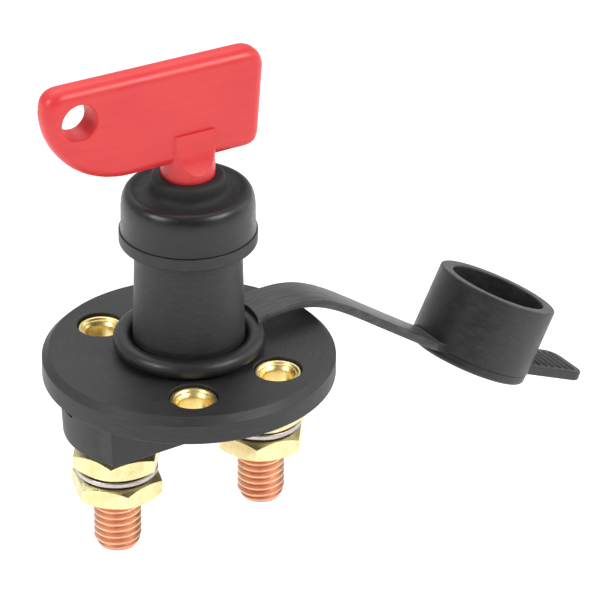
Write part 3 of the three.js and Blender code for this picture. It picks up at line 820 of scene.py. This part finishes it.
keyShape = {
    "turn": -4.3, "thickness": 6, "edgeRound": 2.6, "tightest": 0.2,
    "low": 49.9, "highRight": 72.3, "highLeft": 72.6, "right": 16.6, "rightLow": 15.5,
    "left": -33.3, "lowCorner": 3.6, "highCorner": 4.8, "leftCorner": 4.4,
    "sweepX": -14.3, "sweepRadiusX": 19.1, "sweepRadiusZ": 18.4, "sweepSteps": 40,
    "holeX": -25.8, "holeZ": 65.1, "holeRadius": 4, "holeWaist": (3.35, -1.9), "holeLip": 0.3,
    "shaftRadius": 5.6, "shaftBottom": 22, "blade": (4.9, 1.8, 13.5, 22.4), "flatTop": 56.8,
    # each flat: (distance below the flat's top, distance from the shaft's middle)
    "flat": [(0, 3.5), (1.6, 3.6), (3.2, 3.74), (4.4, 3.9), (5.4, 4.13), (6.3, 4.42), (7.1, 4.77),
             (7.8, 5.1), (8.4, 5.4), (9.0, 5.72), (10, 6.3)],
}


def keyOutline():
    k = keyShape
    low, right, left = k["low"], k["right"], k["left"]
    highRight, highLeft, lowCorner = k["highRight"], k["highLeft"], k["lowCorner"]
    outline = [(k["sweepX"] + 1, low)]
    start = (k["rightLow"] - lowCorner, low)
    outline += straight(outline[0], start, 12)
    end = (k["rightLow"] + 0.1, low + lowCorner + 0.5)
    outline += bezier(start, (k["rightLow"] - lowCorner / 3, low),
                      (k["rightLow"] + 0.03, low + 1.17), end, 10)
    rise = (right, highRight - k["highCorner"])
    outline += straight(end, rise, 8)
    turn = (right - k["highCorner"], highRight)
    outline += bezier(rise, (right + 0.1, highRight - 2), (right - 1.9, highRight), turn, 12)
    leftTurn = (left + k["leftCorner"], highLeft)
    outline += straight(turn, leftTurn, 24)
    drop = (left + 0.02, highLeft - k["leftCorner"])
    outline += bezier(leftTurn, (left + 1.6, highLeft), (left, highLeft - 1.6), drop, 12)
    for i in range(1, k["sweepSteps"] + 1):
        angle = math.pi + (math.pi / 2 - 0.02) * i / k["sweepSteps"]
        outline.append((k["sweepX"] + k["sweepRadiusX"] * math.cos(angle),
                        low + k["sweepRadiusZ"] + k["sweepRadiusZ"] * math.sin(angle)))
    return outline


# how far each point can move in before its corner closes up, as a share of the edge rounding
def cornerRoom(outline):
    k = keyShape
    count = len(outline)
    shares = []
    for i, point in enumerate(outline):
        before, here = Vector(outline[i - 1]), Vector(point)
        after = Vector(outline[(i + 1) % count])
        turned = abs((here - before).angle_signed(after - here, 0))
        radius = (after - before).length / 2 / max(turned, 1e-4)
        shares.append(min(1, max(0.3, (radius - k["tightest"]) / k["edgeRound"])))
    for smoothing in range(3):
        shares = [sum(shares[(i + step) % count] for step in range(-3, 4)) / 7
                  for i in range(count)]
    return shares


# the outline drawn in by a margin, square to itself at each point
def drawnIn(outline, shares, margin):
    found = []
    for k, (x, z) in enumerate(outline):
        before, after = outline[k - 1], outline[(k + 1) % len(outline)]
        along = Vector((after[0] - before[0], after[1] - before[1])).normalized()
        found.append((x - along.y * margin * shares[k], z + along.x * margin * shares[k]))
    return found


def buildKey():
    k = keyShape
    outline = keyOutline()
    shares = cornerRoom(outline)
    flatHalf, rounding, arcSteps = k["thickness"] / 2, k["edgeRound"], 12
    levels = [(-flatHalf + rounding * (1 - math.sin(a)), rounding * (1 - math.cos(a)))
              for a in (math.radians(90 * (arcSteps - i) / arcSteps) for i in range(arcSteps + 1))]
    levels += [(-y, margin) for y, margin in reversed(levels)]
    rings = [[(x, y, z) for x, z in drawnIn(outline, shares, margin)] for y, margin in levels]
    piece = loftMesh("redKey", rings)

    lip, radius = k["holeLip"], k["holeRadius"]
    flare = [(radius + lip * (1 - math.cos(a)), flatHalf - lip + lip * math.sin(a))
             for a in (math.radians(18 * i) for i in range(6))]
    half = flare + [(radius + lip, flatHalf + 1)]
    behind = [(r, -z) for r, z in reversed(half)]
    profile = [(0, -flatHalf - 1)] + behind + [k["holeWaist"]] + half + [(0, flatHalf + 1)]
    ringHole = latheMesh("ringHole", profile, 64)
    ringHole.data.transform(Matrix.Rotation(math.pi / 2, 4, "X"))
    combine(piece, "DIFFERENCE", shifted(ringHole, k["holeX"], 0, k["holeZ"]))

    shaftProfile = softOutline([(0, k["shaftBottom"], 0), (k["shaftRadius"], k["shaftBottom"], 0.4),
                                (k["shaftRadius"], k["flatTop"], 0.12), (0, k["flatTop"], 0)],
                               closed=False, arcSteps=4)
    shaft = latheMesh("shaft", shaftProfile, 96)
    front = [(half, k["flatTop"] - drop) for drop, half in k["flat"]]
    front.append((k["flat"][-1][1], k["shaftBottom"] - 1))
    wedge = front + [(-y, z) for y, z in reversed(front)]
    flats = loftMesh("flats", [[(x, y, z) for y, z in wedge] for x in (-7, 7)])
    combine(shaft, "INTERSECT", flats)
    halfWidth, halfThickness, bladeLow, bladeHigh = k["blade"]
    blade = roundEdges(boxMesh("blade", (-halfWidth, -halfThickness, bladeLow),
                               (halfWidth, halfThickness, bladeHigh)), 0.3, segments=2)
    combine(piece, "UNION", shaft, blade)
    piece.data.transform(Matrix.Rotation(math.radians(k["turn"]), 4, "Z"))
    return settle(piece, signalRed, "key", ["key"], sharpAngle=24)


buildKey()
print("key made")


# rubber boot on the key's shaft

boot = {
    "radius": 13.85, "bottom": 33.76, "inner": 11.3, "ceiling": 40.0, "bore": 5.64,
    "shoulder": 38.6, "skirtFlare": 0.2, "bossRadius": 7.75, "bossTop": 46.4, "bossFoot": 44,
    "dish": 42.3, "dishFlat": (9.4, 10.3), "crest": (11.95, 42.88),
    # how each curve leaves its first point and reaches its last
    "shoulderPull": [(13.85, 40.9), (13.3, 42.75)], "crestPull": [(11.6, 42.86), (11.1, 42.3)],
    "bossPull": [(8.5, 42.3), (7.85, 42.9)],
}


def buildBoot():
    b = boot
    flatInner, flatOuter = b["dishFlat"]
    skirt = softOutline([
        (b["inner"], 36, 0), (b["inner"], b["bottom"], 0.3),
        (b["radius"] + b["skirtFlare"], b["bottom"], 0.14), (b["radius"], b["bottom"] + 1, 0),
        (b["radius"], b["shoulder"], 0)], closed=False)
    shoulder = bezier((b["radius"], b["shoulder"]), *b["shoulderPull"], b["crest"], 18)
    dish = bezier(b["crest"], *b["crestPull"], (flatOuter, b["dish"]), 8)
    bossFoot = bezier((flatInner, b["dish"]), *b["bossPull"], (b["bossRadius"], b["bossFoot"]), 12)
    bossRim = softOutline([
        (b["bossRadius"], b["bossFoot"] + 0.2, 0), (b["bossRadius"] - 0.15, b["bossTop"], 1.1),
        (b["bore"], b["bossTop"], 0.12), (b["bore"], b["bossFoot"], 0)], closed=False, arcSteps=10)
    profile = skirt + shoulder + dish + [(flatInner, b["dish"])] + bossFoot + bossRim
    profile += [(b["bore"], b["ceiling"]), (b["inner"], b["ceiling"])]
    piece = latheMesh("keyBoot", profile, 128)
    return settle(piece, bootRubber, "key", ["key_boot"], weighted=False)


buildBoot()
print("boot made")


# rubber tether: ring round the barrel and a strap made in three lengths

ring = {"radius": 13.8, "section": 1.95, "middle": 7.95, "strapFrom": 14.6}
strap = {
    "halfWidth": 4.75, "thickness": 1.9, "edge": 0.4, "seam": 0.07, "seamHalf": 0.12,
    "rootSpread": 1.1, "spreadTo": 18, "step": 0.5,
    "line": [(13, 9.5), (17, 10.2), (21, 10.4), (25, 10.15), (29, 9.2), (33, 7.45), (37, 5.1),
             (41, 2.4), (46, -1.1), (52, -5.3), (58.1, -9.5), (64, -13.2)],
}


# the strap's height at x, on a smooth curve through its line
def strapPoint(x):
    line = strap["line"]
    k = max(i for i in range(len(line) - 1) if line[i][0] <= x or i == 0)
    k = min(k, len(line) - 2)

    def slope(i):
        low, high = max(i - 1, 0), min(i + 1, len(line) - 1)
        return (line[high][1] - line[low][1]) / (line[high][0] - line[low][0])

    width = line[k + 1][0] - line[k][0]
    t = (x - line[k][0]) / width
    return ((2 * t ** 3 - 3 * t * t + 1) * line[k][1] + (t ** 3 - 2 * t * t + t) * width * slope(k)
            + (3 * t * t - 2 * t ** 3) * line[k + 1][1] + (t ** 3 - t * t) * width * slope(k + 1))


def strapSection(halfWidth):
    s = strap
    half = s["thickness"] / 2
    right = softOutline([(0, -half, 0), (halfWidth, -half, s["edge"]),
                         (halfWidth, half, s["edge"]), (0, half, 0)], closed=False, arcSteps=5)
    middle = len(right) // 2
    seam = [(halfWidth, -s["seamHalf"]), (halfWidth + s["seam"], 0), (halfWidth, s["seamHalf"])]
    right = right[1:middle] + seam + right[middle:-1]
    left = [(-y, z) for y, z in reversed(right)]
    return right + left


# a length of strap between two places along X, wider where it grows out of the ring
def strapLength(name, fromX, toX):
    s = strap
    steps = int((toX - fromX) / s["step"])
    rings = []
    for k in range(steps + 1):
        x = fromX + (toX - fromX) * k / steps
        rise = (strapPoint(x + 0.01) - strapPoint(x - 0.01)) / 0.02
        up = Vector((-rise, 1)).normalized()
        halfWidth = s["halfWidth"] + s["rootSpread"] * max(0, (s["spreadTo"] - x) / 5) ** 2
        rings.append([(x + up.x * v, u, strapPoint(x) + up.y * v)
                      for u, v in strapSection(halfWidth)])
    return loftMesh(name, rings)


def buildRing():
    r = ring
    section = [(r["radius"] + r["section"] * math.cos(fullTurn * k / 32),
                r["middle"] + r["section"] * math.sin(fullTurn * k / 32)) for k in range(32)]
    piece = latheMesh("tetherRing", section, 128)
    return settle(piece, ringRubber, "strap_ring", ["strap_ring"], weighted=False)


buildRing()

strapBends = [
    {"name": "strapLift", "from": 13, "to": 37, "bodies": ("strap_ring", "strap_inner"),
     "start": 24.5, "end": 36.5, "nodes": ["strap_inner"]},
    {"name": "strapCurl", "from": 37, "to": 51, "bodies": ("strap_inner", "strap_outer"),
     "start": 37.5, "end": 50.5, "nodes": ["strap_outer"]},
    {"name": "strapFold", "from": 51, "to": 62.5, "bodies": ("strap_outer", "cap"),
     "start": 53.2, "end": 62.1, "nodes": []},
]
for bend in strapBends:
    piece = strapLength(bend["name"], bend["from"], bend["to"])
    if bend["from"] < ring["strapFrom"]:
        combine(piece, "DIFFERENCE", plainRod("barrelRoom", ring["strapFrom"], 0, 20, steps=96))
    settle(piece, strapRubber, None, bend["nodes"], weighted=False)
    start, end = [(x * mm, 0, strapPoint(x) * mm) for x in (bend["start"], bend["end"])]
    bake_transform(piece)
print("ring and strap made")


# rubber cap at the strap's end

capShape = {
    "x": 70.7, "z": -19.2, "tilt": 28, "outer": 13.35, "inner": 10.56, "height": 17.3, "floor": 3.4,
    "disc": 2.1, "discInset": 0.1, "groove": 0.22, "tetherLow": 1.3, "tetherMiddle": 2.65,
    "tabReach": 29.5, "tabHalf": 6.1, "tabCorner": 3, "tabThickness": 2.1, "tabLean": 4.5,
    "ribs": 7, "ribPitch": 1.95, "ribHeight": 0.42, "firstRib": 1.9, "ribSink": 0.25,
    "ribMargin": 1.5,
    # each rib's rounded end: (distance in from the end, size)
    "ribEnd": [(0, 0.55), (0.25, 0.85), (0.6, 1)],
    # the strap's foot: (distance from the cup's edge, half width)
    "footOverlap": 0.6, "foot": [(0, 4.75), (1.2, 4.75), (2.6, 6.2), (5.6, 10.2)],
}


def fingerTab():
    c = capShape
    rootX, half = c["outer"] - 2, c["tabHalf"]
    outline = softOutline([(rootX, -half, 0), (c["tabReach"], -half, c["tabCorner"]),
                           (c["tabReach"], half, c["tabCorner"]), (rootX, half, 0)], arcSteps=10)
    low, high = c["tetherLow"], c["tetherLow"] + c["tabThickness"]
    tab = loftMesh("tab", [[(x, y, z) for x, y in outline] for z in (low, high)])
    roundEdges(tab, 0.35, angle=60, segments=4)
    radius, end, middle = c["ribHeight"] + c["ribSink"], half - c["ribMargin"], high - c["ribSink"]
    sizes = [(-end + inset, size) for inset, size in c["ribEnd"]]
    sizes += [(end - inset, size) for inset, size in reversed(c["ribEnd"])]
    angles = [fullTurn * i / 24 for i in range(24)]
    ribs = []
    for k in range(c["ribs"]):
        x = c["outer"] + c["firstRib"] + k * c["ribPitch"]
        ribs.append(loftMesh("rib", [[(x + radius * math.cos(a) * size, y,
                                       middle + radius * math.sin(a) * size) for a in angles]
                                     for y, size in sizes]))
    combine(tab, "UNION", *ribs)
    pivot = Matrix.Translation((rootX * mm, 0, 0))
    lean = Matrix.Rotation(math.radians(-c["tabLean"]), 4, "Y")
    tab.data.transform(pivot @ lean @ pivot.inverted())
    return tab


# the strap's root on the base disc, spreading out to meet it
def strapFoot():
    c = capShape
    half = strap["thickness"] / 2
    start = -c["outer"] - c["footOverlap"]
    pulls = [(start + x, y) for x, y in c["foot"]]
    outline = [pulls[0]] + bezier(*pulls, 10)
    outline += [(x, -y) for x, y in reversed(outline)]
    levels = (c["tetherMiddle"] - half, c["tetherMiddle"] + half)
    foot = loftMesh("foot", [[(x, y, z) for x, y in outline] for z in levels])
    return roundEdges(foot, 0.35, angle=60, segments=3)


def buildCap():
    c = capShape
    disc, groove = c["outer"] - c["discInset"], c["outer"] - c["groove"]
    profile = softOutline([
        (0, 0, 0), (disc, 0, 0.9), (disc, c["disc"] - 0.12, 0.05),
        (groove, c["disc"] - 0.06, 0.03), (groove, c["disc"] + 0.06, 0.03),
        (c["outer"], c["disc"] + 0.16, 0.08), (c["outer"], c["height"], 0.35),
        (c["inner"], c["height"], 0.35), (c["inner"], c["floor"], 0.5), (0, c["floor"], 0),
    ], closed=False)
    piece = latheMesh("sealingCap", profile, 128)
    combine(piece, "UNION", fingerTab(), strapFoot())
    cavity = softOutline([(0, c["floor"], 0), (c["inner"], c["floor"], 0.5),
                          (c["inner"], c["height"] + 1, 0), (0, c["height"] + 1, 0)], closed=False)
    combine(piece, "DIFFERENCE", latheMesh("cavity", cavity, 128))
    piece.data.transform(Matrix.Translation((c["x"] * mm, 0, c["z"] * mm))
                         @ Matrix.Rotation(math.radians(c["tilt"]), 4, "Y"))
    return settle(piece, capRubber, "cap", ["sealing_cap"])


buildCap()
print("cap made")


# switchgear inside the barrel

springs = {
    "contactSpring": {"node": "contact_spring", "radii": (4.3, 4.3), "low": 3.85, "high": 5.7,
                      "turns": 1.75, "body": "contact_carrier"},
    "returnSpring": {"node": "return_spring", "radii": (5.7, 4.4), "low": -4.6, "high": -0.05,
                     "turns": 2.5, "body": "housing"},
}
wireRadius = 0.4


def coilPiece(name, coil):
    steps = int(coil["turns"] * 48)
    section = [(wireRadius * math.cos(fullTurn * i / 14), wireRadius * math.sin(fullTurn * i / 14))
               for i in range(14)]
    rings = []
    for k in range(steps + 1):
        share = k / steps
        angle = fullTurn * coil["turns"] * share
        radius = coil["radii"][0] + (coil["radii"][1] - coil["radii"][0]) * share
        height = coil["low"] + (coil["high"] - coil["low"]) * share
        rings.append([((radius + u) * math.cos(angle), (radius + u) * math.sin(angle), height + v)
                      for u, v in section])
    return settle(loftMesh(name, rings), springSteel, coil["body"], [coil["node"]],
                  weighted=False)


coils = {name: coilPiece(name, coil) for name, coil in springs.items()}
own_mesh(coils["returnSpring"])

insideFinishes = {"drive_rotor": acetal, "contact_carrier": acetal, "contact_bridge": redCopper,
                  "retaining_clip": springSteel}
for node, material in insideFinishes.items():
    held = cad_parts[node]
    held.data.materials.clear()
    held.data.materials.append(material)
print("inside pieces finished")


# floor, light and camera

stageSet = {
    "floorZ": -68, "floorSize": 6.0,  # below the lowest place that the hanging cap can reach
    "floorColor": (0.93, 0.93, 0.93), "floorGlow": 0.2,
    "brightSide": (0.55, 0.83, 0),  # the room is darker behind the camera
    "frontLevel": 0.16, "backLevel": 0.72, "floorMottle": 0.985,
}
lights = [
    {"name": "leftSoftbox", "at": (-1.25, -0.02, 0.76), "size": 0.42, "power": 9},
    {"name": "rightSoftbox", "at": (0.59, -1.02, 0.92), "size": 0.55, "power": 12},
    {"name": "sideFill", "at": (1.4, -0.3, 0.5), "size": 0.9, "power": 3},
    {"name": "overhead", "at": (0.1, 0.5, 1.3), "size": 1.2, "power": 9},
]
cameraSet = {"azimuth": -33.75, "elevation": 28.96, "roll": 0.32, "distance": 1112.7,
             "lens": 322.5, "target": (21.7, -8.8, 14.2)}


def buildFloor():
    half = stageSet["floorSize"] / 2 / mm
    z = stageSet["floorZ"]
    corners = [(-half, -half, z), (half, -half, z), (half, half, z), (-half, half, z)]
    floor = makePiece("floor", corners, [[0, 1, 2, 3]])
    material, tree, shader, coords = startMaterial("paleFloor")
    mottle = noise(tree, coords, 3, 2)
    pale = stageSet["floorColor"]
    tint = tuple(channel * stageSet["floorMottle"] for channel in pale)
    tree.links.new(tinted(tree, pale, tint, mottle), shader.inputs["Base Color"])
    shader.inputs["Roughness"].default_value = 0.9
    shader.inputs["Specular IOR Level"].default_value = 0.1
    shader.inputs["Emission Color"].default_value = (1, 1, 1, 1)
    # a lit table, so shadows stay pale
    shader.inputs["Emission Strength"].default_value = stageSet["floorGlow"]
    floor.data.materials.append(material)


def buildLights():
    world = bpy.data.worlds.new("studio")
    world.use_nodes = True
    tree = world.node_tree
    direction = tree.nodes.new("ShaderNodeTexCoord").outputs["Generated"]
    facing = vectorMath(tree, "DOT_PRODUCT", direction, stageSet["brightSide"])
    level = spread(tree, facing, stageSet["frontLevel"], stageSet["backLevel"], (-0.9, 0.9))
    backdrop = tree.nodes["Background"]
    backdrop.inputs["Color"].default_value = (1, 1, 1, 1)
    tree.links.new(level, backdrop.inputs["Strength"])
    bpy.context.scene.world = world
    for light in lights:
        lamp = bpy.data.lights.new(light["name"], "AREA")
        lamp.shape = "SQUARE"
        lamp.size = light["size"]
        lamp.energy = light["power"]
        holder = bpy.data.objects.new(light["name"], lamp)
        holder.location = light["at"]
        holder.rotation_mode = "QUATERNION"
        holder.rotation_quaternion = Vector(light["at"]).to_track_quat("Z", "Y")
        bpy.context.scene.collection.objects.link(holder)


def buildCamera():
    c = cameraSet
    azimuth, elevation = math.radians(c["azimuth"]), math.radians(c["elevation"])
    level = math.cos(elevation)
    back = Vector((math.sin(azimuth) * level, -math.cos(azimuth) * level, math.sin(elevation)))
    data = bpy.data.cameras.new("camera")
    data.lens = c["lens"]
    data.sensor_width = 36
    data.clip_end = 20
    camera = bpy.data.objects.new("camera", data)
    camera.rotation_mode = "QUATERNION"
    roll = Quaternion((0, 0, 1), math.radians(c["roll"]))
    camera.rotation_quaternion = back.to_track_quat("Z", "Y") @ roll
    camera.location = (Vector(c["target"]) + back * c["distance"]) * mm
    bpy.context.scene.collection.objects.link(camera)
    bpy.context.scene.camera = camera


buildFloor()
buildLights()
buildCamera()
bpy.context.scene.view_settings.view_transform = "Standard"
print("stage set")
